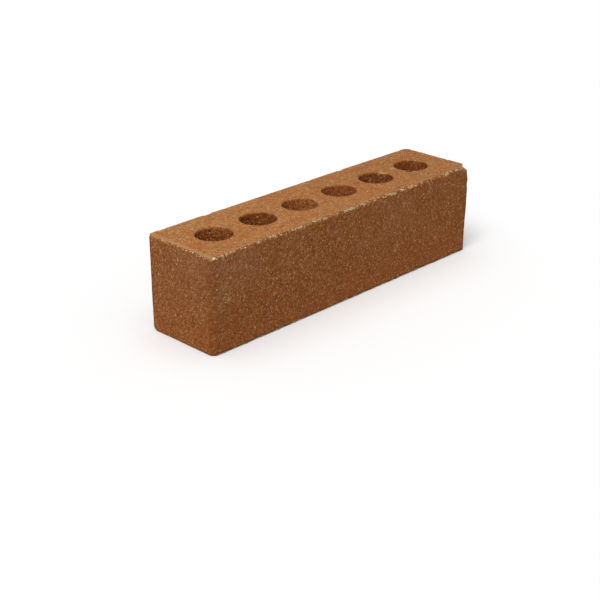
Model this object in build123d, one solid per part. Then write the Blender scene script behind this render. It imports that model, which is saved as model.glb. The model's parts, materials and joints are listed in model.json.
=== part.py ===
"""Facing brick with one row of round perforations.

One piece of fired clay. The clay is pushed through a die as a long bar, with the perforations
formed in it, and wires cut the bar into bricks. The die shapes the two long stretcher faces and
the two header ends, and rounds the four upright arrises between them. The wires leave the two
flat beds, where the mortar goes, with the perforations running from bed to bed.

Axes: X along the length, Y across the bed, Z up through the course height.
Origin: the centre of the lower bed. All sizes are in millimetres.
"""

from build123d import *
import math
import os

# Outside of the fired brick.
brick_length = 250.0
brick_width = 60.0
brick_height = 65.0

# Upright arrises, rounded by the die.
corner_radius = 4.5

# Edges of the two beds, cut by wire and softened in handling.
bed_edge_radius = 0.9

# Perforations, in one row along the middle of the bed.
hole_diameter = 25.0
web_between_holes = 13.0
least_end_wall = 16.0

# Edge of each perforation, where the wire leaves it slightly torn.
hole_edge_break = 0.5

hole_pitch = hole_diameter + web_between_holes
row_room = brick_length - 2 * least_end_wall
hole_count = math.floor((row_room + web_between_holes) / hole_pitch)


def die_section():
    """The opening of the die: a rectangle with rounded corners, less the row of perforations."""
    with BuildSketch() as section:
        RectangleRounded(brick_length, brick_width, corner_radius)
        with GridLocations(hole_pitch, brick_width, hole_count, 1):
            Circle(hole_diameter / 2, mode=Mode.SUBTRACT)
    return section.sketch


def cut_brick():
    """One brick cut from the bar, with the edges of its two beds softened."""
    with BuildPart() as brick:
        add(die_section())
        extrude(amount=brick_height)
        beds = brick.faces().filter_by(Axis.Z)
        outlines = [edge for bed in beds for edge in bed.outer_wire().edges()]
        hole_rims = [edge for bed in beds for wire in bed.inner_wires() for edge in wire.edges()]
        fillet(outlines, radius=bed_edge_radius)
        chamfer(hole_rims, length=hole_edge_break)
    return brick.part


brick = cut_brick()
brick.label = "brick"

os.makedirs("parts", exist_ok=True)
export_step(brick, "parts/brick.step")

print(f"{hole_count} perforations of {hole_diameter} mm at {hole_pitch} mm")
print(f"volume {brick.volume:.0f} mm3, size {brick.bounding_box().size}")
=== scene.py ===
# %% [markdown]
# # A perforated facing brick, dressed for a studio picture
#
# The object is one narrow brick of fired clay. The clay is pushed through a die, so the four sides have a
# sandy skin and rounded arrises, and the six perforations run from bed to bed. Wires then cut the bar, so
# the two beds are flatter and paler, and their edges are torn where the wires left the clay.
#
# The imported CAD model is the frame. One dense mesh replaces the plain solid and carries the torn arrises,
# the chips and the waves of the real faces. Colour and fine grain come from procedural materials.

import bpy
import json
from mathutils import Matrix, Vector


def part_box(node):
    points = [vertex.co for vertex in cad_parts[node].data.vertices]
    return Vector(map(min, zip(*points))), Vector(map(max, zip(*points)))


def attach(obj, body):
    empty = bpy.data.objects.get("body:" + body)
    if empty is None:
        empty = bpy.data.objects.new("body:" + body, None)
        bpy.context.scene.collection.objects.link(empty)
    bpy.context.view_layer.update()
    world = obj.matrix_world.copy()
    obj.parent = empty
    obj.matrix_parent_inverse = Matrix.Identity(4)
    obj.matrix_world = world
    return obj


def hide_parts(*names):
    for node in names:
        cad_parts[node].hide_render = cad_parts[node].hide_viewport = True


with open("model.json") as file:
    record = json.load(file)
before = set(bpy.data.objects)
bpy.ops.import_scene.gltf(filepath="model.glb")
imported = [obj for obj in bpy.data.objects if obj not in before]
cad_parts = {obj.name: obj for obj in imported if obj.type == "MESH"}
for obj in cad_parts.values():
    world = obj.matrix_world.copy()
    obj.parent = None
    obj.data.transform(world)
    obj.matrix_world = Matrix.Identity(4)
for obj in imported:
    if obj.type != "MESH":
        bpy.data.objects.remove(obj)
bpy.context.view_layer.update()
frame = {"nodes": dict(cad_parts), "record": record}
print("frame nodes:", sorted(frame["nodes"]))

# %% Modules
import json
import math
import random

import bmesh
import bpy
from mathutils import Euler, Matrix, Vector, geometry, kdtree, noise

# %% [markdown]
# ## Sizes
#
# A dressed model that measures the frame never drifts away from it. The box of the CAD node gives the
# length, width and height, and the record's bore mounts give the perforations. The corner radius isn't
# in the record, so it is written here once, as in the part.

# %% Sizes read from the frame
mm = 0.001
low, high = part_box("brick")
length, width, height = high - low
half_length, half_width = length / 2, width / 2
bores = [m for m in frame["record"]["mounts"] if m["kind"] == "bore"]
hole_centres = [Vector(m["pos_m"][:2]) for m in bores]
hole_radius = bores[0]["dims"]["r_mm"] * mm
hole_pitch = hole_centres[1].x - hole_centres[0].x
corner_radius = 4.5 * mm
print(f"brick {length / mm:.0f} x {width / mm:.0f} x {height / mm:.0f} mm, {len(bores)} perforations")

# %% [markdown]
# ## The die's section as a grid
#
# The brick is its section, pushed upwards. Quads bend and tear cleanly, so the section starts as one flat
# grid over the whole bed. It is even over the perforations and closes up towards the arrises, where the
# surface needs small faces. Each perforation sits in a square cell, and the faces in the middle of the
# cell are taken out. A boolean would be quicker to write, but it leaves long slivers round every hole,
# and those crease as soon as the surface is roughened.

# %% Grid lines that close up towards the edges
closer = 0.45


def eased(t):
    """Runs from 0 to 1 in steps that get shorter."""
    return t + closer * t * (1 - t)


def grid_lines(half, core_half, core_steps, margin_steps):
    """Places along one side, even in the core and closer together towards both ends."""
    core = [core_half * (2 * i / core_steps - 1) for i in range(core_steps + 1)]
    shares = [eased(i / margin_steps) for i in range(1, margin_steps + 1)]
    margin = [core_half + (half - core_half) * share for share in shares]
    return [-place for place in reversed(margin)] + core + margin


def snapped(value, lines):
    """The grid line for a value from -1 to 1 on an even grid."""
    return lines[round((value + 1) / 2 * (len(lines) - 1))]


# %% The flat section
cell = hole_pitch / 2
columns_per_hole, rows_per_hole, margin_steps = 48, 30, 16
lines_x = grid_lines(half_length, cell * len(bores), columns_per_hole * len(bores), margin_steps)
lines_y = grid_lines(half_width, cell, rows_per_hole, margin_steps)
clay = bmesh.new()
bmesh.ops.create_grid(clay, x_segments=len(lines_x) - 1, y_segments=len(lines_y) - 1, size=1)
for v in clay.verts:
    v.co.x = snapped(v.co.x, lines_x)
    v.co.y = snapped(v.co.y, lines_y)
print(f"section grid of {len(lines_x) - 1} by {len(lines_y) - 1} faces")

# %% Open the perforations
square_share = 2 / 3


def nearest_hole(x):
    """The number of the perforation that a place along the brick is nearest to."""
    return min(range(len(hole_centres)), key=lambda i: abs(x - hole_centres[i].x))


def in_cell(x, y):
    """The nearest perforation's centre, and how far from it a point lies as a share of its cell."""
    centre = hole_centres[nearest_hole(x)]
    return centre, max(abs(x - centre.x), abs(y - centre.y)) / cell


middles = [f for f in clay.faces if in_cell(*f.calc_center_median().xy)[1] < square_share]
bmesh.ops.delete(clay, geom=middles, context="FACES")
print(f"{len(middles)} faces taken out of the perforations")

# %% [markdown]
# The openings are still square. Each ring of the cell is drawn towards a circle, wholly at the rim and
# not at all at the cell's edge, so the grid stays regular everywhere. The corners of the whole section
# are rounded in the same spirit: a square corner is mapped onto a quarter disc, as the die rounds it.

# %% Draw the openings round
def drawn_round(x, y):
    """Moves a point of a cell towards a circle round the perforation."""
    centre, share = in_cell(x, y)
    if share >= 1:
        return x, y
    a, b = x - centre.x, y - centre.y
    t = (share - square_share) / (1 - square_share)
    ring = hole_radius + (cell - hole_radius) * (2 * t - eased(t))
    eighth = math.pi / 4
    if abs(a) >= abs(b):
        angle = eighth * b / a + (0 if a > 0 else math.pi)
    else:
        angle = 2 * eighth - eighth * a / b + (0 if b > 0 else math.pi)
    square = t * t * (3 - 2 * t)
    a = (1 - square) * ring * math.cos(angle) + square * a
    b = (1 - square) * ring * math.sin(angle) + square * b
    return centre.x + a, centre.y + b


def past_corner_centre(x, y):
    """How far a point lies past the centre of the nearest corner's arc, along the brick and across it."""
    return abs(x) - half_length + corner_radius, abs(y) - half_width + corner_radius


def cornered(x, y):
    """Bends a square corner of the section into the die's rounded one."""
    a, b = (past / corner_radius for past in past_corner_centre(x, y))
    if a <= 0 or b <= 0:
        return x, y
    along = (a * math.sqrt(1 - b * b / 2) - 1) * corner_radius + half_length
    across = (b * math.sqrt(1 - a * a / 2) - 1) * corner_radius + half_width
    return math.copysign(along, x), math.copysign(across, y)


# Each vertex keeps its place from before the corners are bent. It unrolls the sides for the texture map
# and tells later how near an upright arris is.
unrolled = clay.verts.layers.float_vector.new("unrolled")
for v in clay.verts:
    v.co.x, v.co.y = drawn_round(v.co.x, v.co.y)
    v[unrolled] = v.co.copy()
    v.co.x, v.co.y = cornered(v.co.x, v.co.y)
print(f"arrises rounded to {corner_radius / mm} mm")

# %% [markdown]
# ## Push the section up through the die
#
# Extruding the whole sheet makes the second bed, the outer sides and the perforations' walls in one step,
# and leaves a closed solid. The upright quads are then cut into rows, which close up towards the beds.
#
# The operators leave vertices and faces in another order on each run. The grains are drawn face by face
# later, so both are numbered by place here, and every run gives the same grains.

# %% Extrude and cut into rows
def outline_depth(x, y):
    """How far a point of the section lies inside the rounded outline."""
    a, b = past_corner_centre(x, y)
    return corner_radius - math.hypot(max(a, 0), max(b, 0)) - min(max(a, b), 0)


def hole_depth(x, y):
    """How far a point of the section lies from the nearest perforation's wall."""
    centre = hole_centres[nearest_hole(x)]
    return math.hypot(x - centre.x, y - centre.y) - hole_radius


def cut_into_rows(edges, lines):
    """Cuts upright edges at the heights of the lines, which run from minus to plus half the height."""
    cut = bmesh.ops.subdivide_edges(clay, edges=edges, cuts=len(lines) - 2)
    for v in {g for g in cut["geom_inner"] if isinstance(g, bmesh.types.BMVert)}:
        v.co.z = snapped(2 * v.co.z / height - 1, lines) + height / 2


raised = bmesh.ops.extrude_face_region(clay, geom=clay.faces[:])["geom"]
bmesh.ops.translate(clay, verts=[g for g in raised if isinstance(g, bmesh.types.BMVert)], vec=(0, 0, height))
upright = [e for e in clay.edges if abs(e.verts[0].co.z - e.verts[1].co.z) > height / 2]
near_hole = 1 * mm
side_edges = [e for e in upright if hole_depth(*e.verts[0].co.xy) > near_hole]
bore_edges = [e for e in upright if hole_depth(*e.verts[0].co.xy) <= near_hole]
cut_into_rows(side_edges, grid_lines(height / 2, core_half=26.5 * mm, core_steps=36, margin_steps=11))
cut_into_rows(bore_edges, grid_lines(height / 2, core_half=18 * mm, core_steps=8, margin_steps=14))
bmesh.ops.recalc_face_normals(clay, faces=clay.faces[:])
print(f"{len(clay.faces)} faces, volume {clay.calc_volume() / mm**3:.0f} mm3")


# %% The same order on every run
def put_in_order(parts, key):
    """Numbers vertices or faces by a key and sorts them by these numbers."""
    for number, part in enumerate(sorted(parts, key=key)):
        part.index = number
    parts.sort()


def corners_of(face):
    """The four corners of a face, starting at the one with the lowest number."""
    corners = face.verts[:]
    first = min(range(len(corners)), key=lambda i: corners[i].index)
    return corners[first:] + corners[:first]


put_in_order(clay.verts, lambda v: v.co[:])
put_in_order(clay.faces, lambda f: sorted(v.index for v in f.verts))
print("vertices and faces numbered by place")

# %% [markdown]
# ## Three finishes of one clay
#
# The die leaves a sandy skin on the sides, the wires leave the two beds, and the die's cores leave the
# walls of the perforations. All are one piece of clay, so they stay one mesh with one material, and
# numbers on each vertex say which finish it wears. Separate materials would meet in a hard line.
#
# The texture map is laid out while the sides are still flat: beds as they lie, sides and perforation walls
# unrolled, all at one scale. An automatic map would fall to pieces on the torn edges.

# %% Unroll the brick into a texture map
sheet_size = 345 * mm
gap = 4 * mm
row = height + gap
girth = 2 * math.pi * hole_radius
bed_shelf = 2 * row
bore_spots = [(i * (girth + gap), 4 * row) for i in range(4)]
bore_spots += [(length + gap, bed_shelf), (length + gap, bed_shelf + row)]


def side_spot(face, place):
    """Where a point of an outer side lies on the sheet: each strip holds one stretcher and one header."""
    out = face.normal
    if abs(out.y) > abs(out.x):
        front = out.y < 0
        along = half_length + (place.x if front else -place.x)
    else:
        front = out.x > 0
        along = length + half_width + (place.y if front else -place.y)
    return Vector((along, (0 if front else row) + place.z))


def bore_spot(number, face, place):
    """Where a point of a perforation's wall lies on the sheet."""
    middle = face.calc_center_median().xy - hole_centres[number]
    here = place.xy - hole_centres[number]
    turn = math.atan2(middle.y, middle.x) - middle.angle_signed(here)
    u, v = bore_spots[number]
    return Vector((u + (turn / (2 * math.pi) + 0.5) * girth, v + place.z))


def bed_spot(face, place):
    """Where a point of a bed lies on the sheet."""
    shelf = bed_shelf if face.normal.z > 0 else bed_shelf + row
    return Vector((place.x + half_length, shelf + place.y + half_width))


sheet = clay.loops.layers.uv.new("OFBake")
for face in clay.faces:
    middle = face.calc_center_median()
    for corner in face.loops:
        flat = corner.vert[unrolled].copy()
        flat.z = corner.vert.co.z
        if abs(face.normal.z) > 0.5:
            spot = bed_spot(face, flat)
        elif hole_depth(*middle.xy) > near_hole:
            spot = side_spot(face, flat)
        else:
            spot = bore_spot(nearest_hole(middle.x), face, flat)
        corner[sheet].uv = (spot + Vector((gap, gap)) / 2) / sheet_size
print(f"texture map covers a sheet of {sheet_size / mm:.0f} mm")

# %% [markdown]
# ## Relief
#
# Real faces wander by a tenth of a millimetre or two, the die leaves faint upright lines, and the wires
# leave ripples. These go into the mesh, because they catch a raking light and shape the outline. All lie
# just inside the CAD faces, so the proudest grains reach the brick's stated size and no further.
#
# Every size below is a real one. The numbers in front of the lumps are heights in millimetres, and the
# last number of each is only its seed.

# %% Noise with real sizes
def lumps(place, size, seed=0):
    """Soft noise from about -1 to 1, with lumps of this size."""
    return noise.noise(place / size + Vector((seed, -seed, 2 * seed)))


def stretched(place, along_x, along_y, along_z):
    """The place with its axes shortened, so that lumps read there come out longer."""
    return Vector((place.x / along_x, place.y / along_y, place.z / along_z))


def packed_grain(place, size):
    """The nearest grain of a dense packing: how proud it is, from 0 to 1, and a number of its own."""
    distances, centres = noise.voronoi(place / size)
    own_number = 0.5 + 0.5 * noise.cell(centres[0] * 7.7)
    return max(0, 1 - distances[0] / 0.75), own_number


# %% How each finish wanders
skin_inset, bed_inset = 0.16 * mm, 0.04 * mm


def side_relief(place):
    """Slow waves, faint upright die lines and the sandy skin of the outer sides."""
    die_lines = lumps(stretched(place, 1, 1, 14), 4.5 * mm, 3)
    return (0.14 * lumps(place, 45 * mm) + 0.07 * lumps(place, 11 * mm, 1) + 0.03 * die_lines
            + 0.06 * lumps(place, 3.6 * mm, 5)) * mm


def bed_relief(place):
    """Ripples across the wires' way, furrows of dragged grains along it, and slow waves."""
    ripples = lumps(stretched(place, 14, 1, 1), 4 * mm, 7)
    furrows = max(0, lumps(stretched(place, 1, 12, 1), 1.6 * mm, 9) - 0.35)
    return (0.1 * lumps(place, 30 * mm, 2) + 0.05 * ripples - 0.3 * furrows
            + 0.05 * lumps(place, 3 * mm, 4)) * mm


def bore_relief(place):
    """The rough wall of a perforation, a little drawn out along the way that the clay moved."""
    drawn = lumps(stretched(place, 1, 1, 5), 2.4 * mm, 6)
    return (0.16 * lumps(place, 7 * mm, 8) + 0.07 * drawn + 0.22 * lumps(place, 2.6 * mm, 10)) * mm


# %% [markdown]
# ## Torn and rounded edges
#
# The wires crossed the brick from the back stretcher to the front one. A wire pulls grains out where it
# leaves the clay, so the front arrises of both beds are ragged and the back ones nearly clean. In the same
# way a rim is torn at its far side, where the wire came out into the hole, and crisp at its near side. The
# photograph shows the far header's edge nearly straight, so it is spared. One number per vertex, the tear,
# follows from the direction in which the clay ends there.
#
# A sharp edge is rounded by sliding its vertices onto an arc, whose radius wanders with the tear.

# %% Where the nearest edge is, and how the clay ends there
travel = Vector((0, -1))
torn_by_exit, spared_header, least_tear = 0.9, 0.8, 0.03
tear_patch, rim_focus = 16 * mm, 4


def way_out(x, y):
    """Distance to the nearest upright surface of the section, and the way out of the clay there."""
    outline, rim = outline_depth(x, y), hole_depth(x, y)
    if rim < outline:
        return rim, (hole_centres[nearest_hole(x)] - Vector((x, y))).normalized()
    a, b = past_corner_centre(x, y)
    if a > 0 and b > 0:
        way = Vector((a, b)).normalized()
    else:
        way = Vector((1, 0)) if a > b else Vector((0, 1))
    return outline, Vector((math.copysign(way.x, x), math.copysign(way.y, y)))


def tear_at(place, out, is_bore):
    """How torn the edge is here, from 0 for a clean one to about 1. A rim is only torn at its far side."""
    exit_share = 0.5 + 0.5 * out.dot(travel)
    patchy = 0.75 + 0.6 * lumps(place, tear_patch, 12)
    share = exit_share ** rim_focus if is_bore else exit_share * (1 - spared_header * max(0, out.x))
    return max(least_tear, torn_by_exit * patchy * share)


# %% Leaning and tight edges
bore_swell, near_lip, lip_reach = 0.2 * mm, 0.7 * mm, 5 * mm
tight_corner, tight_from, tight_to = 0.8 * mm, 5 * mm, 45 * mm
push_fade = 3 * mm
least_radius, clean_radius, crisper_behind = 0.2, 0.35, 0.25
rim_tear_radius, arris_tear_radius = 1.15, 1.5


def soft_step(value, start, end):
    """Runs softly from 0 to 1 while the value runs from start to end."""
    t = max(0, min(1, (value - start) / (end - start)))
    return t * t * (3 - 2 * t)


def pushed_out(place, out, down, across, is_bore):
    """How far the upright surface stands out here: the perforations' near lips and the tight far arris."""
    if is_bore:
        push = bore_swell + near_lip * max(0, -out.dot(travel)) * soft_step(down, lip_reach, 0)
    else:
        diagonal = -2 * out.x * out.y if out.x > 0 > out.y else 0
        push = tight_corner * diagonal * soft_step(place.z, tight_from, tight_to)
    return push * soft_step(across, push_fade, 0)


def rounding(place, out, tear, is_bore):
    """The radius of a rounded edge here: small where the cut is clean, larger and uneven where it tore."""
    uneven = 0.45 * math.sqrt(tear) * lumps(place, 6 * mm, 14) + 0.12 * lumps(place, 2.5 * mm, 15)
    clean = clean_radius if is_bore else clean_radius - crisper_behind * max(0, out.x, out.y)
    torn_radius = rim_tear_radius if is_bore else arris_tear_radius
    return max(least_radius, clean + torn_radius * tear ** 0.6 + uneven) * mm


# %% Shape each vertex
layer_names = ("bed", "bore", "torn", "grit", "margin", "arris", "chip")
marks = {name: clay.verts.layers.float.new(name) for name in layer_names}
torn_reach, side_reach, margin_reach = 3 * mm, 2 * mm, 3.8 * mm
header_lip, header_skin = 0.6 * mm, 0.8 * mm
bed_blend, torn_grain = 0.7 * mm, 1.6 * mm
rim_share, rim_relief = 0.15, 0.5
arris_from, arris_to = 5.5 * mm, 2.5 * mm


def shaped(v):
    """The vertex's place with its edge rounded and torn, and its relief. Sets its marks."""
    flat = v.co.copy()
    upper = flat.z > height / 2
    level = 1 if upper else -1
    down = min(flat.z, height - flat.z)
    is_bore = hole_depth(flat.x, flat.y) < outline_depth(flat.x, flat.y)
    depth, out = way_out(flat.x, flat.y)
    depth = max(depth, 0)
    # From here on, across is the position across the edge: positive on the bed, negative down the side.
    across = depth - down
    tear = tear_at(flat, out, is_bore)

    push = pushed_out(flat, out, down, across, is_bore)
    radius = rounding(flat, out, tear, is_bore)
    phase = math.pi / 4 * (1 - max(-1, min(1, across / radius)))
    inward = depth
    if abs(across) < radius:
        inward, down = radius * (1 - math.sin(phase)), radius * (1 - math.cos(phase))
    place = Vector((*(flat.xy + out * (push + depth - inward)), height - down if upper else down))
    normal = Vector((*(out * math.sin(phase)), level * math.cos(phase)))

    header = 0 if is_bore else abs(out.x)
    bed_share = max(0, min(1, 0.5 + 0.5 * (across - header_skin * header) / bed_blend))
    side = bore_relief(flat) if is_bore else side_relief(flat) - skin_inset
    relief = bed_share * (bed_relief(flat) - bed_inset) + (1 - bed_share) * side

    worst = header_lip * header
    reach = torn_reach * (1 - 0.4 * header) if across > worst else side_reach
    near = max(0, 1 - abs(across - worst) / (reach * (0.5 + 0.6 * tear)))
    proud, number = packed_grain(flat, torn_grain)
    torn = min(1, tear * near * 1.6)
    clump = 0.35 * lumps(flat, 4.2 * mm, 19) + 0.2 * lumps(flat, 0.9 * mm, 17)
    relief += torn * (rim_relief if is_bore else 1) * (1.1 * proud * (0.3 + 0.7 * number) + clump - 0.5) * mm

    shown = torn * (rim_share if is_bore else 1)
    clustered = soft_step(lumps(flat, 2.6 * mm, 23) + 0.5 * lumps(flat, 8 * mm, 24), -0.1, 0.3)
    beside = bed_share * soft_step(across - 2 * worst, margin_reach, 0.6 * margin_reach) * min(1, 0.3 + tear)
    # The arris mark says where the colour is painted darker: painted shade on the header's upper arris,
    # against the light its rounded curve catches from the lamp, and a darker band round the upright arrises.
    from_corner = max(half_length - abs(v[unrolled].x), half_width - abs(v[unrolled].y))
    upright_arris = soft_step(from_corner, arris_from, arris_to) * (1 - bed_share)
    header_arris_shade = header * soft_step(abs(across), 1.3 * mm, 0.3 * mm)
    v[marks["bed"]] = bed_share
    v[marks["bore"]] = (1 - bed_share) if is_bore else 0
    v[marks["torn"]] = shown
    v[marks["grit"]] = shown * clustered * min(1, 2.2 * proud)
    v[marks["margin"]] = 0 if is_bore else beside * max(0, 1 - 1.8 * out.x)
    v[marks["arris"]] = max(upright_arris, header_arris_shade)
    return place + normal * relief


for v in clay.verts:
    v.co = shaped(v)
print(f"relief on {len(clay.verts)} vertices")

# %% [markdown]
# ## Chips
#
# Knocks leave shallow bowls with a rough floor, mostly on the ragged arrises. A boolean would cut the
# clean grid, so each chip is a bite of a large sphere, found from the chip's width and depth: the vertices
# inside it are pushed back to its surface. The larger chips are listed one by one, and the small nibbles are
# drawn at random from one seed.

# %% One bite
floor_rough, floor_grain = 0.18 * mm, 1.1 * mm
all_fresh = 0.35 * mm
search_slack = 1.1


def bite(place, outward, wide, deep):
    """Pushes the vertices inside a large sphere back to its surface, which leaves a shallow bowl."""
    outward = outward.normalized()
    radius = (wide * wide / 4 + deep * deep) / (2 * deep)
    centre = place + outward * (radius - deep)
    moved = 0
    # The tree holds the places before any bite, so it is searched a little further out.
    for _, index, _ in near_vertices.find_range(centre, radius * search_slack):
        v = clay.verts[index]
        away = v.co - centre
        floor = radius - floor_rough * (1 + lumps(v.co, floor_grain, 21)) * 0.5
        if away.length < floor:
            lowered = floor - away.length
            v.co = centre + away.normalized() * floor
            v[marks["chip"]] = max(v[marks["chip"]], min(1, lowered / all_fresh))
            moved += 1
    return moved


clay.verts.ensure_lookup_table()
near_vertices = kdtree.KDTree(len(clay.verts))
for v in clay.verts:
    near_vertices.insert(v.co, v.index)
near_vertices.balance()

# %% The chips that show, listed one by one
# In millimetres: the place on the sharp edge or near it, the way out of the clay, the width and the depth.
x_end, y_end, top = half_length / mm, half_width / mm, height / mm
chips = {
    "far front corner": ((x_end - 1.1, -y_end + 1.1, top), (0.29, -0.43, 0.86), 27, 3.2),
    "far front corner, notch": ((x_end - 1.5, -y_end + 4, top - 2), (0.9, 0, 0.5), 4, 0.9),
    "far front corner, lower": ((x_end - 1, -y_end + 1, top - 5), (0.7, -0.7, 0.1), 12, 0.9),
    "far header, middle": ((x_end, -2.5, top), (0.5, 0, 0.85), 4.4, 0.85),
    "far header, beside it": ((x_end, -9, top), (0.5, 0, 0.85), 3.4, 0.8),
    "far header, back": ((x_end, 17, top), (0.5, 0, 0.85), 3.4, 0.7),
    "near corner": ((-x_end + 1.6, -y_end + 1.6, top), (-0.6, -0.7, 0.7), 4.5, 1.5),
    "back left corner": ((-x_end + 1.3, y_end - 1.3, top), (-0.8, 0.5, 0.5), 5, 1.2),
    "lower left foot": ((-x_end, y_end - 2.5, 1), (-0.9, 0.4, -0.5), 7, 1.6),
    "last perforation, nick": ((80.6, 5.7, top), (0.3, -0.1, 1), 4.6, 2),
    "last perforation, bay": ((84, -7.2, top), (0.5, 0.4, 0.9), 5, 1.3),
    "fifth perforation, nick": ((44, 0.5, top), (0.5, 0, 0.9), 3.2, 1.3),
    "fifth perforation, tear": ((69, 5, top), (-0.6, -0.3, 0.8), 6.5, 0.8),
    "front foot": ((34, -y_end, 0), (0, -0.7, -0.7), 6, 1.2),
    "front foot, near end": ((-88, -y_end, 0), (0, -0.7, -0.7), 7, 2.2),
    "back arris": ((52, y_end, top), (0, 0.7, 0.7), 6, 1),
    "back corner": ((x_end - 1.3, y_end - 1.3, top - 30), (0.7, 0.7, 0), 5, 0.7),
}
for name, (place, outward, wide, deep) in chips.items():
    moved = bite(Vector(place) * mm, Vector(outward), wide * mm, deep * mm)
    print(f"chip at the {name}: {moved} vertices")

# %% Random nibbles along the arrises
dice = random.Random(4)


def nibble_arris(count, small, large):
    """Bites the long and short arrises of both beds, more often where the wires left the clay."""
    bitten = 0
    while bitten < count:
        along = dice.uniform(-1, 1)
        z = dice.choice((0, height))
        up = 1 if z else -1
        if dice.random() < 0.75:
            place = Vector((along * half_length, dice.choice((-half_width, half_width)), z))
            outward = Vector((0, math.copysign(1, place.y), up))
        else:
            place = Vector((dice.choice((-half_length, half_length)), along * half_width, z))
            outward = Vector((math.copysign(1, place.x), 0, up))
        likely = 0.25 + 0.75 * (outward.y < 0)
        if dice.random() > likely:
            continue
        wide = dice.uniform(small, large)
        bite(place - outward * 0.3 * mm, outward, wide, wide * dice.uniform(0.14, 0.24))
        bitten += 1
    return bitten


def nibble_rims(count):
    """Bites the rims of the perforations, mostly on the side where the wires came out into them."""
    for _ in range(count):
        centre = dice.choice(hole_centres)
        angle = dice.gauss(math.pi / 2, 0.8)
        z = dice.choice((0, height))
        inwards = Vector((-math.cos(angle), -math.sin(angle), 0))
        place = Vector((*centre, z)) - inwards * hole_radius
        outward = inwards + Vector((0, 0, 1 if z else -1))
        bite(place, outward, dice.uniform(1.8, 4) * mm, dice.uniform(0.3, 0.8) * mm)
    return count


def nibble_uprights(count):
    """Bites the four rounded upright arrises."""
    arc_x, arc_y = half_length - 1.3 * mm, half_width - 1.3 * mm
    for _ in range(count):
        side = Vector((dice.choice((-1, 1)), dice.choice((-1, 1)), 0))
        place = Vector((side.x * arc_x, side.y * arc_y, dice.uniform(6, 60) * mm))
        bite(place, side, dice.uniform(2, 4) * mm, dice.uniform(0.3, 0.5) * mm)
    return count


print(nibble_arris(60, 2 * mm, 4.5 * mm), "wide and", nibble_arris(110, 1.3 * mm, 2.4 * mm), "small nibbles")
print(nibble_rims(40), "on the rims,", nibble_uprights(12), "on the upright arrises")

# %% [markdown]
# ## Hand the body over
#
# The dense mesh becomes one object at the origin, in place of the CAD brick. Its vertices are held inside
# the CAD box first. It is shaded smooth, since several rows of faces already round each edge.

# %% The brick's body
def held_in_box(place):
    """The same place, or the nearest one inside the CAD box."""
    return Vector([min(max(c, lo), hi) for c, lo, hi in zip(place, low, high)])


def as_object(name, bm, smooth=True):
    """Turns a finished bmesh into an object at the origin."""
    mesh = bpy.data.meshes.new(name)
    for face in bm.faces:
        face.smooth = smooth
    bm.to_mesh(mesh)
    thing = bpy.data.objects.new(name, mesh)
    bpy.context.collection.objects.link(thing)
    return thing


for v in clay.verts:
    v.co = held_in_box(v.co)
body = as_object("fired_brick", clay)
print(f"{body.name}: {len(body.data.polygons)} faces")

# %% [markdown]
# ## Grains of grog
#
# Grog is crushed, already fired clay. On the skin its grains stand up as small lumps, and on the torn
# arrises they stick out as pale crumbs. Bump alone would leave the outline smooth, so the larger grains
# are real: lumps of 20 faces, squashed, pulled out of round, shaded flat and half sunk into the surface.
#
# They are scattered by the area of each face times how many grains its finish holds. One large bmesh gets
# slower with every lump added, so they are made in batches and joined.

# %% How many grains each finish holds
grain_dice = random.Random(11)
per_square_mm = {"side": 0.034, "bed": 0.010, "bore": 0.03, "torn": 1.1}
grain_marks = ("bed", "bore", "torn", "tone")


def share_of(face):
    """The marks of a face, as the mean of its corners."""
    return {name: sum(v[marks[name]] for v in corners_of(face)) / 4 for name in layer_names}


def area_of(face):
    """The area of a face, as two triangles that are the same on every run."""
    a, b, c, d = (v.co for v in corners_of(face))
    return geometry.area_tri(a, b, c) + geometry.area_tri(a, c, d)


def grains_in(face, share):
    """How many grains this face holds: the whole part, and the rest by chance."""
    side = max(0, 1 - share["bed"] - share["bore"])
    rate = side * per_square_mm["side"] + share["bed"] * per_square_mm["bed"]
    clumped = 0.6 + 3 * share["grit"]
    rate += share["bore"] * per_square_mm["bore"] + clumped * share["torn"] ** 1.6 * per_square_mm["torn"]
    return int(rate * area_of(face) / mm ** 2 + grain_dice.random())


# %% One grain
def add_grain(lumps_made, face, share, radius, tone):
    """Adds one squashed, angular lump, half sunk into a face, and marks it with its tone and finish."""
    corners = [v.co for v in corners_of(face)]
    a, b = grain_dice.random(), grain_dice.random()
    spot = corners[0].lerp(corners[1], a).lerp(corners[-1].lerp(corners[-2], a), b)
    squash = grain_dice.uniform(0.45, 0.8)
    turn = Euler([grain_dice.uniform(0, math.tau) for _ in range(3)]).to_matrix().to_4x4()
    stand = face.normal.to_track_quat("Z", "Y").to_matrix().to_4x4()
    spin = Matrix.Rotation(grain_dice.uniform(0, math.tau), 4, "Z")
    flatten = Matrix.Diagonal((1, grain_dice.uniform(0.55, 1), squash, 1))
    sunk = Matrix.Translation(spot - face.normal * radius * squash * grain_dice.uniform(0.1, 0.6))
    made = bmesh.ops.create_icosphere(lumps_made, subdivisions=1, radius=radius,
                                      matrix=sunk @ stand @ spin @ flatten @ turn)
    values = {**share, "tone": tone}
    for v in made["verts"]:
        v.co = held_in_box(v.co + Vector([grain_dice.uniform(-1, 1) for _ in range(3)]) * radius * 0.22)
        for name in grain_marks:
            v[lumps_made.verts.layers.float[name]] = values[name]


# %% Scatter the grains
batch_size = 200
wanted = []
for face in clay.faces:
    share = share_of(face)
    for _ in range(grains_in(face, share)):
        radius = (grain_dice.uniform(0.28, 0.52) + 0.4 * share["torn"] * grain_dice.random() ** 2) * mm
        tone = 0.96 * grain_dice.random() ** (1 / (1 + 3 * share["grit"]))
        wanted.append((face, share, radius, tone))

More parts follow.
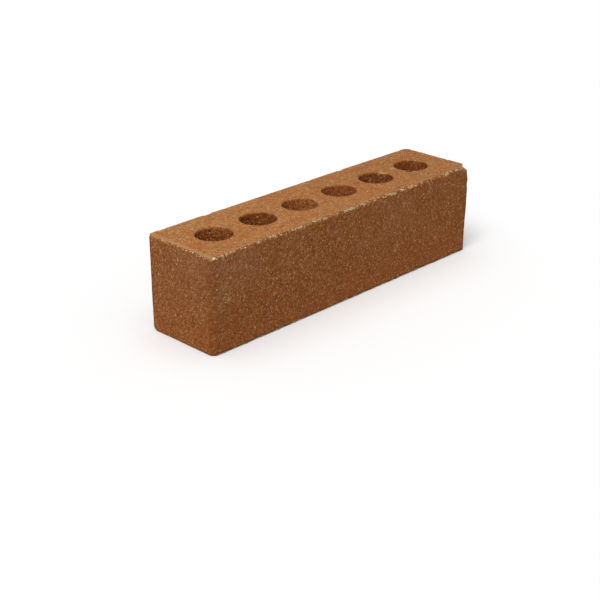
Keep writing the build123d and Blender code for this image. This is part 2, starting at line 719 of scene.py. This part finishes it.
# Single grains that show: where they sit in millimetres, their radius and their tone, up to 1 for white.
named_grains = {
    "near corner": ((-121.2, -29.4, 65), 1.35, 1.0),
    "near corner, beside": ((-119, -29.2, 65), 0.7, 0.85),
    "near header": ((-124.4, -13, 65), 0.6, 1.0),
    "front arris": ((-96, -29.6, 65), 0.7, 1.0),
    "far upright arris": ((123.9, -28.9, 37), 0.75, 0.3),
    "first perforation": ((-88.6, 10.7, 61.5), 0.5, 1.0),
    "first perforation, lower": ((-84.6, 7, 59), 0.45, 0.9),
    "second perforation": ((-48.8, 9.4, 62), 0.75, 0.9),
    "second perforation, below": ((-47.6, 8.2, 58.5), 0.6, 0.8),
}
# A loose row of pale ones on the near header's upper arris: the place along it and the radius of each.
near_row = ((-4, 0.5), (-7.5, 0.62), (-10, 0.4), (-17, 0.5), (-20, 0.7), (-22.2, 0.5), (-25, 0.6))
for along, radius in near_row:
    named_grains[f"near header at {along}"] = ((-124.5, along, 64.7), radius, 0.82)
for place, radius, tone in named_grains.values():
    index = near_vertices.find(Vector(place) * mm)[1]
    face = min(clay.verts[index].link_faces, key=lambda f: f.index)
    wanted.append((face, share_of(face) | {"torn": 1.0}, radius * mm, tone))

grains = bmesh.new()
batch_mesh = bpy.data.meshes.new("batch")
for start in range(0, len(wanted), batch_size):
    batch = bmesh.new()
    for name in grain_marks:
        batch.verts.layers.float.new(name)
    for grain in wanted[start:start + batch_size]:
        add_grain(batch, *grain)
    batch.to_mesh(batch_mesh)
    grains.from_mesh(batch_mesh)
    batch.free()
bpy.data.meshes.remove(batch_mesh)
grog = as_object("grog_grains", grains, smooth=False)
print(f"{len(wanted)} grains, {len(grog.data.polygons)} faces")

for piece in (body, grog):
    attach(piece, "root")
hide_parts("brick")

# %% [markdown]
# ## Small helpers for shader nodes
#
# A material is easier to read as a recipe than as a tangle of links. These helpers add one node, set its
# inputs or link them, and hand back the socket that carries the result.

# %% Node helpers
def add_node(tree, kind, inputs=None, **settings):
    """Adds a node, sets its properties, and sets or links the inputs given by name or number."""
    new = tree.nodes.new(kind)
    for name, value in settings.items():
        setattr(new, name, value)
    for name, value in (inputs or {}).items():
        if isinstance(value, bpy.types.NodeSocket):
            tree.links.new(value, new.inputs[name])
        else:
            new.inputs[name].default_value = value
    return new


def calc(tree, operation, a, b=0.0):
    """One step of arithmetic."""
    return add_node(tree, "ShaderNodeMath", {0: a, 1: b}, operation=operation).outputs[0]


def times(tree, a, b):
    """One number times another."""
    return calc(tree, "MULTIPLY", a, b)


def weighted(tree, *parts):
    """The sum of several numbers, each given with its weight."""
    total = times(tree, *parts[0])
    for number, weight in parts[1:]:
        total = calc(tree, "ADD", total, times(tree, number, weight))
    return total


def away_from(tree, number, middle):
    """How far a number is from a middle one."""
    return calc(tree, "ABSOLUTE", calc(tree, "SUBTRACT", number, middle))


def remap(tree, value, start, end, to_start=0.0, to_end=1.0):
    """A soft step: runs from to_start to to_end while the value runs from start to end."""
    inputs = {"Value": value, "From Min": start, "From Max": end, "To Min": to_start, "To Max": to_end}
    return add_node(tree, "ShaderNodeMapRange", inputs, interpolation_type="SMOOTHSTEP").outputs["Result"]


def blend(tree, factor, a, b, strength=None):
    """Mixes two colours, each a socket or red, green and blue. A strength weakens the factor."""
    if strength is not None:
        factor = times(tree, factor, strength)
    a, b = (c if isinstance(c, bpy.types.NodeSocket) else (*c, 1) for c in (a, b))
    return add_node(tree, "ShaderNodeMix", {0: factor, 6: a, 7: b}, data_type="RGBA").outputs[2]


def attribute(tree, name):
    """A number that the mesh carries on its vertices."""
    return add_node(tree, "ShaderNodeAttribute", attribute_name=name).outputs["Fac"]


def noise_of(tree, place, size, detail=2.0, roughness=0.55):
    """Soft noise from 0 to 1 with lumps of this size."""
    scale = calc(tree, "DIVIDE", 1.0, size)
    inputs = {"Vector": place, "Scale": scale, "Detail": detail, "Roughness": roughness}
    return add_node(tree, "ShaderNodeTexNoise", inputs).outputs["Fac"]


def new_group(name, inputs, outputs):
    """An empty shader group with named sockets; gives the tree and its two end nodes."""
    tree = bpy.data.node_groups.new(name, "ShaderNodeTree")
    for label, kind in inputs.items():
        tree.interface.new_socket(name=label, in_out="INPUT", socket_type=kind)
    for label, kind in outputs.items():
        tree.interface.new_socket(name=label, in_out="OUTPUT", socket_type=kind)
    return tree, tree.nodes.new("NodeGroupInput").outputs, tree.nodes.new("NodeGroupOutput").inputs


def place_group(tree, group, place, **values):
    """Puts a group in a material, with the place it is read at and its own values."""
    inputs = {name.capitalize(): value for name, value in values.items()}
    return add_node(tree, "ShaderNodeGroup", {"Place": place, **inputs}, node_tree=group).outputs


FLOAT, VECTOR = "NodeSocketFloat", "NodeSocketVector"

# %% [markdown]
# ## Effects shared by the finishes
#
# Four effects make every finish, each with its own values: grain of fine clay, specks of grog in a share
# of the cells of a Voronoi pattern, marks drawn out along one direction, and the slow change of tint that
# the kiln leaves. All work in millimetres. The cells of a Voronoi pattern stand in rows, and a face along
# such a row would show too many or too few of them, so each pattern is turned askew to the brick's faces.

# %% Cells turned askew
askew = (0.6, 0.4, 0.9)


def bent_cells(tree, put, waves, swing, detail):
    """A Voronoi pattern turned askew and bent by noise: each point's distance, and its cell's numbers."""
    turned = add_node(tree, "ShaderNodeMapping", {"Vector": put["Place"], "Rotation": askew}).outputs[0]
    scale = calc(tree, "DIVIDE", 1.0, put["Size"])
    bend = add_node(tree, "ShaderNodeTexNoise",
                    {"Vector": turned, "Scale": times(tree, scale, waves), "Detail": detail})
    push = add_node(tree, "ShaderNodeVectorMath",
                    {0: bend.outputs["Color"], "Scale": times(tree, put["Size"], swing)},
                    operation="SCALE").outputs[0]
    bent = add_node(tree, "ShaderNodeVectorMath", {0: turned, 1: push}, operation="ADD").outputs[0]
    cells = add_node(tree, "ShaderNodeTexVoronoi", {"Vector": bent, "Scale": scale}).outputs
    return cells["Distance"], add_node(tree, "ShaderNodeSeparateColor", {"Color": cells["Color"]}).outputs


# %% Fine clay
fine_clay, put, take = new_group("Fine clay", {"Place": VECTOR, "Size": FLOAT},
                                 {"Value": FLOAT, "Height": FLOAT})
distance, own = bent_cells(fine_clay, put, waves=1.0, swing=1.0, detail=2.0)
powder_size = times(fine_clay, put["Size"], 0.4)
powder = noise_of(fine_clay, put["Place"], powder_size, detail=3.0, roughness=0.65)
value = weighted(fine_clay, (own["Red"], 0.62), (remap(fine_clay, powder, 0.3, 0.7), 0.38))
fine_clay.links.new(value, take["Value"])
rise = calc(fine_clay, "SUBTRACT", powder, times(fine_clay, distance, 0.5))
fine_clay.links.new(times(fine_clay, rise, put["Size"]), take["Height"])

# %% Specks of grog
specks, put, take = new_group("Grog specks", {"Place": VECTOR, "Size": FLOAT, "Share": FLOAT},
                              {"Mask": FLOAT, "Tone": FLOAT, "Height": FLOAT})
distance, own = bent_cells(specks, put, waves=1.8, swing=1.2, detail=1.0)
present = calc(specks, "LESS_THAN", own["Red"], put["Share"])
mostly_small = times(specks, own["Green"], own["Green"])
reach = calc(specks, "ADD", 0.14, times(specks, mostly_small, 0.38))
within = remap(specks, distance, reach, times(specks, reach, 0.55))
specks.links.new(times(specks, present, within), take["Mask"])
specks.links.new(own["Blue"], take["Tone"])
dome = times(specks, present, times(specks, within, reach))
specks.links.new(times(specks, dome, put["Size"]), take["Height"])

# %% Drawn marks
drawn_marks, put, take = new_group("Drawn marks", {"Place": VECTOR, "Shorten": VECTOR, "Size": FLOAT},
                                   {"Value": FLOAT, "Height": FLOAT})
along = add_node(drawn_marks, "ShaderNodeVectorMath", {0: put["Place"], 1: put["Shorten"]},
                 operation="MULTIPLY").outputs[0]
streak = noise_of(drawn_marks, along, put["Size"])
drawn_marks.links.new(remap(drawn_marks, streak, 0.32, 0.68), take["Value"])
drawn_marks.links.new(calc(drawn_marks, "SUBTRACT", streak, 0.5), take["Height"])

# %% Kiln tint
kiln_tint, put, take = new_group("Kiln tint", {"Place": VECTOR},
                                 {"Fleck": FLOAT, "Mottle": FLOAT, "Slow": FLOAT})
for name, size, detail in (("Fleck", 2.2, 1.0), ("Mottle", 11.0, 3.0), ("Slow", 60.0, 1.0)):
    cloud = noise_of(kiln_tint, put["Place"], size, detail)
    kiln_tint.links.new(remap(kiln_tint, cloud, 0.33, 0.67), take[name])
print("node groups:", sorted(g.name for g in bpy.data.node_groups))

# %% [markdown]
# ## The clay's colours
#
# The colours are in linear light. The skin of the sides is a dark orange brown, because the die smears
# fine clay over the grains. The wires open the clay, so the beds are paler and more orange, and the walls
# of the perforations are the reddest. In all three the grain runs from a dark brown to a pale buff, the
# mix of fired clay and grog, which makes it look like brick and not like paint.

# %% Colours
skin_dark, skin_mid, skin_pale = (0.140, 0.027, 0.003), (0.314, 0.086, 0.015), (0.535, 0.254, 0.093)
mauve, olive, dust = (0.293, 0.093, 0.031), (0.276, 0.096, 0.013), (0.355, 0.178, 0.090)
bed_dark, bed_mid, bed_pale = (0.200, 0.046, 0.007), (0.330, 0.124, 0.030), (0.470, 0.270, 0.115)
bed_orange, bed_tan = (0.370, 0.124, 0.027), (0.325, 0.148, 0.051)
bore_dark, bore_mid, bore_pale = (0.100, 0.018, 0.002), (0.325, 0.083, 0.014), (0.590, 0.260, 0.080)
bore_warm = (0.620, 0.200, 0.050)
buff, straw = (0.475, 0.325, 0.140), (0.720, 0.470, 0.225)
sand, lime = (0.590, 0.500, 0.285), (0.780, 0.710, 0.560)
# Painted light: a warmer, brighter tint that lifts the foot of the sides.
foot_light_painted = (0.480, 0.125, 0.022)
# Painted shade: dark browns for the shadows between crumbs on the torn arrises and for the bed's far end.
shade_brown, half_shade_brown = (0.085, 0.024, 0.006), (0.210, 0.062, 0.013)
ember, soot = (0.330, 0.080, 0.016), (0.060, 0.024, 0.010)


def three_tones(tree, value, dark, mid, pale):
    """A colour that runs from dark over mid to pale."""
    lower = blend(tree, remap(tree, value, 0.0, 0.5), dark, mid)
    return blend(tree, remap(tree, value, 0.5, 1.0), lower, pale)


# %% [markdown]
# ## The fired clay
#
# One material blends the three finishes by the numbers on the vertices. Each finish also changes slowly
# along the brick, as the photograph shows: dust high on the sides and painted light, warmer and brighter,
# at their foot, swathes on the near part of the bed, painted shade on the bed towards its far end, and
# bright middle perforations between darker ones. Then come four kinds of grog specks, painted shade on the
# rounded arrises, a few scratches, pale crumbs with painted shade in the gaps between them where the wires
# tore the clay, and fresh clay in the chips.
# Bump carries only what is too fine for the mesh, in millimetres of height.

# %% Start the clay material
def new_material(name):
    """A material with its shader, output and place in millimetres."""
    made = bpy.data.materials.new(name)
    made.use_nodes = True
    tree = made.node_tree
    tree.nodes.clear()
    shader = add_node(tree, "ShaderNodeBsdfPrincipled", {"Specular IOR Level": 0.15})
    add_node(tree, "ShaderNodeOutputMaterial", {"Surface": shader.outputs[0]})
    spot = add_node(tree, "ShaderNodeTexCoord").outputs["Object"]
    place = add_node(tree, "ShaderNodeMapping", {"Vector": spot, "Scale": (1000, 1000, 1000)}).outputs[0]
    return made, tree, shader, place


fired_clay, tree, shader, place = new_material("fired_clay_body")
torn, grit, margin = attribute(tree, "torn"), attribute(tree, "grit"), attribute(tree, "margin")
arris, chip = attribute(tree, "arris"), attribute(tree, "chip")


# %% Sides, beds and perforation walls
second_hole, bright_middle = hole_centres[1].x / mm, -8.0
skin_grain, bed_grain_size, patch_size, swathe_size = 0.90, 1.35, 5.0, 6.0


def clay_finish(tree, place):
    """The colour and the height of the three finishes, blended by the numbers on the vertices."""
    tint = place_group(tree, kiln_tint, place)
    spot = add_node(tree, "ShaderNodeSeparateXYZ", {"Vector": place}).outputs
    grain = place_group(tree, fine_clay, place, size=skin_grain)
    mid = blend(tree, tint["Fleck"], skin_mid, mauve)
    mid = blend(tree, tint["Mottle"], mid, olive, strength=0.6)
    skin = three_tones(tree, grain["Value"], skin_dark, mid, skin_pale)
    patches = remap(tree, noise_of(tree, place, patch_size), 0.33, 0.67)
    skin = blend(tree, patches, skin, skin_dark, strength=0.14)
    dusty = times(tree, tint["Slow"], remap(tree, spot["Z"], 10.0, 60.0, 0.0, 0.26))
    skin = blend(tree, dusty, skin, dust, strength=remap(tree, spot["X"], 30.0, 110.0, 1.0, 0.3))
    # Painted light: the foot of the sides is painted warmer and brighter.
    skin = blend(tree, remap(tree, spot["Z"], 28.0, 0.0, 0.0, 0.14), skin, foot_light_painted)

    bed_grain = place_group(tree, fine_clay, place, size=bed_grain_size)
    chatter = place_group(tree, drawn_marks, place, shorten=(0.2, 1, 1), size=1.6)
    swathes = place_group(tree, drawn_marks, place, shorten=(0.15, 1, 1), size=swathe_size)
    swathe = calc(tree, "SUBTRACT", swathes["Value"], 0.5)
    near_end = remap(tree, spot["X"], 20.0, -60.0, 0.0, 0.09)
    bed_value = weighted(tree, (bed_grain["Value"], 0.80), (chatter["Value"], 0.1), (patches, 0.1),
                         (swathe, near_end))
    mottled = blend(tree, tint["Mottle"], bed_orange, bed_tan)
    mottled = blend(tree, tint["Fleck"], mottled, bed_mid, strength=0.5)
    bed_colour = three_tones(tree, bed_value, bed_dark, mottled, bed_pale)

    bore_colour = three_tones(tree, grain["Value"], bore_dark, bore_mid, bore_pale)
    bore_bright = three_tones(tree, grain["Value"], bore_mid, bore_warm, straw)
    brighter = remap(tree, away_from(tree, spot["X"], bright_middle), 44.0, 10.0, 0.0, 0.3)
    bore_colour = blend(tree, brighter, bore_colour, bore_bright)
    by_second = remap(tree, away_from(tree, spot["X"], second_hole), 24.0, 14.0, 0.0, 0.24)
    darker = calc(tree, "MAXIMUM", by_second, remap(tree, spot["X"], 30.0, 70.0, 0.0, 0.24))
    bore_colour = blend(tree, darker, bore_colour, bore_dark)

    bed_here, bore_here = attribute(tree, "bed"), attribute(tree, "bore")
    made = blend(tree, bed_here, skin, bed_colour)
    made = blend(tree, bore_here, made, bore_colour)
    made = blend(tree, tint["Slow"], made, ember, strength=0.1)
    # Painted shade: the bed is painted darker towards the far end.
    far_end_shade = remap(tree, spot["X"], -90.0, 130.0, 0.0, 0.16)
    made = blend(tree, bed_here, made, shade_brown, strength=far_end_shade)

    roughly = calc(tree, "ADD", 0.16, times(tree, bore_here, 0.3))
    height_made = weighted(tree, (grain["Height"], roughly), (chatter["Height"], 0.08))
    return made, height_made, grain["Value"]


colour, relief, grain_value = clay_finish(tree, place)

# %% Four kinds of grog specks
drawn_up = add_node(tree, "ShaderNodeVectorMath", {0: place, 1: (1, 1, 0.6)},
                    operation="MULTIPLY").outputs[0]
pale_fine = place_group(tree, specks, place, size=1.25, share=0.38)
pale_drags = place_group(tree, specks, drawn_up, size=1.7, share=0.15)
red_specks = place_group(tree, specks, place, size=2.0, share=0.2)
dark_specks = place_group(tree, specks, place, size=1.5, share=0.18)
pale_tone = blend(tree, remap(tree, pale_fine["Tone"], 0.0, 0.6), buff, straw)
spot = add_node(tree, "ShaderNodeSeparateXYZ", {"Vector": place}).outputs
less_on_headers = remap(tree, away_from(tree, spot["X"], 0.0), 122.0, 124.5, 1.0, 0.72)
less_in_bores = remap(tree, attribute(tree, "bore"), 0.0, 1.0, 0.45, 0.1)
dark_here = times(tree, dark_specks["Mask"], 0.75)
colour = blend(tree, red_specks["Mask"], colour, ember, strength=0.6)
colour = blend(tree, dark_here, colour, soot, strength=less_on_headers)
colour = blend(tree, pale_fine["Mask"], colour, pale_tone, strength=less_on_headers)
colour = blend(tree, pale_drags["Mask"], colour, straw, strength=less_in_bores)
# Painted shade on the header's upper arris, against the light its rounded curve catches; the upright arrises
# are painted darker the same way.
colour = blend(tree, arris, colour, skin_dark, strength=0.3)

# %% Slanting scratches on the stretcher, by the near corner
slant = math.radians(25)
slanted = add_node(tree, "ShaderNodeMapping", {"Vector": place, "Rotation": (0, slant, 0)}).outputs[0]
scratches = place_group(tree, drawn_marks, slanted, shorten=(0.18, 1, 1), size=1.0)
by_corner = times(tree, remap(tree, spot["X"], -84.0, -112.0), remap(tree, spot["Z"], 18.0, 34.0))
by_corner = times(tree, by_corner, remap(tree, spot["Y"], -26.0, -29.0, 0.0, 0.45))
colour = blend(tree, by_corner, colour, buff, strength=remap(tree, scratches["Value"], 0.75, 1.0))

# %% Torn arrises and chips
crumb = place_group(tree, fine_clay, place, size=1.0)
# Painted shade in the gaps between crumbs, running up to the bed's own clay colour; the pale crumbs come on
# top.
torn_and_gap_shade = three_tones(tree, crumb["Value"], shade_brown, half_shade_brown, bed_mid)
colour = blend(tree, margin, colour, bed_pale, strength=0.2)
colour = blend(tree, remap(tree, torn, 0.1, 0.45, 0.0, 0.85), colour, torn_and_gap_shade)
crumb_tone = blend(tree, crumb["Value"], buff, sand)
between_gaps = remap(tree, crumb["Value"], 0.34, 0.5)
gritty = remap(tree, grit, 0.1, 0.32, 0.0, 0.85)
colour = blend(tree, between_gaps, colour, crumb_tone, strength=gritty)
crumb_spots = place_group(tree, specks, place, size=1.8, share=0.44)
spot_tone = blend(tree, crumb_spots["Tone"], buff, sand)
in_tear = remap(tree, torn, 0.12, 0.35, 0.0, 0.9)
colour = blend(tree, crumb_spots["Mask"], colour, spot_tone, strength=in_tear)
fresh = three_tones(tree, crumb["Value"], skin_mid, bed_pale, buff)
colour = blend(tree, chip, colour, fresh, strength=0.6)


# %% Fine relief and finish
def finish_material(tree, shader, colour, relief, grain_value):
    """Links the colour, the fine relief in millimetres and a roughness that follows the grain."""
    bump = add_node(tree, "ShaderNodeBump", {"Height": relief, "Distance": 0.001, "Strength": 1.0})
    tree.links.new(bump.outputs["Normal"], shader.inputs["Normal"])
    tree.links.new(colour, shader.inputs["Base Color"])
    tree.links.new(remap(tree, grain_value, 0.0, 1.0, 0.94, 0.80), shader.inputs["Roughness"])


relief = weighted(tree, (relief, 1.0), (pale_fine["Height"], 0.3), (pale_drags["Height"], 0.2),
                  (red_specks["Height"], 0.25))
finish_material(tree, shader, colour, relief, grain_value)
body.data.materials.append(fired_clay)

# %% [markdown]
# ## The grains' own finish
#
# Each lump carries a tone of its own and the finish of the face it sits on. Most grains wear a film of
# the clay around them, so they start from the same colour as that face. On the torn arrises more than
# half of them are bare, and bare grog is buff, sandy or, rarely, nearly white.

# %% Grog material
grog_clay, tree, shader, place = new_material("grog_lumps")
tone, torn = attribute(tree, "tone"), attribute(tree, "torn")
filmed, relief, grain_value = clay_finish(tree, place)
bare = blend(tree, remap(tree, tone, 0.74, 0.80), blend(tree, grain_value, bed_pale, buff), sand)
bare = blend(tree, remap(tree, tone, 0.93, 0.96), bare, lime)
broken = remap(tree, torn, 0.1, 0.35)
bare = blend(tree, broken, straw, bare)
bare_when_torn = times(tree, broken, remap(tree, tone, 0.48, 0.56, 0.0, 0.9))
bare_elsewhere = remap(tree, tone, 0.80, 0.86, 0.0, 0.6)
lump_colour = blend(tree, calc(tree, "MAXIMUM", bare_when_torn, bare_elsewhere), filmed, bare)
lump_colour = blend(tree, remap(tree, tone, 0.12, 0.04, 0.0, 0.6), lump_colour, soot)
finish_material(tree, shader, lump_colour, relief, grain_value)
grog.data.materials.append(grog_clay)

# %% [markdown]
# ## Floor, light and camera
#
# One soft lamp hangs overhead, and another stands high at the near header and reaches into the
# perforations, so the bed is brightest and the long side darkest. The rest of the light comes evenly from
# the surroundings. The floor is white where the camera sees it, and a mid grey for every other ray, so
# that it throws less light up at the sides.

# %% Floor
floor_reach = 4.0
stage = bmesh.new()
bmesh.ops.create_grid(stage, x_segments=1, y_segments=1, size=floor_reach)
floor = as_object("floor", stage)
floor_paint, tree, shader, place = new_material("floor_paint")
floor_seen = add_node(tree, "ShaderNodeLightPath").outputs["Is Camera Ray"]
floor_colour = blend(tree, floor_seen, (0.45, 0.45, 0.44), (0.88, 0.88, 0.88))
tree.links.new(floor_colour, shader.inputs["Base Color"])
shader.inputs["Roughness"].default_value = 0.9
shader.inputs["Specular IOR Level"].default_value = 0.0
floor.data.materials.append(floor_paint)

# %% World
world = bpy.data.worlds.new("studio")
bpy.context.scene.world = world
world.use_nodes = True
sky = world.node_tree
sky.nodes.clear()
rays = add_node(sky, "ShaderNodeLightPath").outputs
seen = calc(sky, "MAXIMUM", rays["Is Camera Ray"],
            calc(sky, "MAXIMUM", rays["Is Glossy Ray"], rays["Is Transmission Ray"]))
ambient = 0.35
strength = calc(sky, "ADD", ambient, times(sky, seen, 1 - ambient))
background = add_node(sky, "ShaderNodeBackground", {"Color": (1, 1, 1, 1), "Strength": strength})
add_node(sky, "ShaderNodeOutputWorld", {"Surface": background.outputs[0]})

# %% Lamps
def soft_lamp(name, towards, level, spread):
    """A distant lamp in this direction; a white face turned to it would show this level of grey."""
    data = bpy.data.lights.new(name, "SUN")
    data.energy = level * math.pi
    data.angle = math.radians(spread)
    lamp = bpy.data.objects.new(name, data)
    lamp.rotation_euler = Vector(towards).to_track_quat("Z", "Y").to_euler()
    bpy.context.collection.objects.link(lamp)


soft_lamp("overhead_lamp", (-0.1, 0, 1), 0.34, 70)
soft_lamp("header_lamp", (-0.51, -0.25, 0.82), 0.56, 35)

# %% Camera at the photograph's viewing angle
camera_data = bpy.data.cameras.new("camera")
camera_data.lens = 75.304
camera_data.sensor_width = 36
camera_data.clip_end = 20
camera = bpy.data.objects.new("camera", camera_data)
camera.location = Vector((-576.501, -548.791, 346.924)) * mm
camera.rotation_euler = Euler([math.radians(a) for a in (65.8112, 0.1034, -45.4891)])
bpy.context.collection.objects.link(camera)
bpy.context.scene.camera = camera
bpy.context.scene.view_settings.view_transform = "Standard"
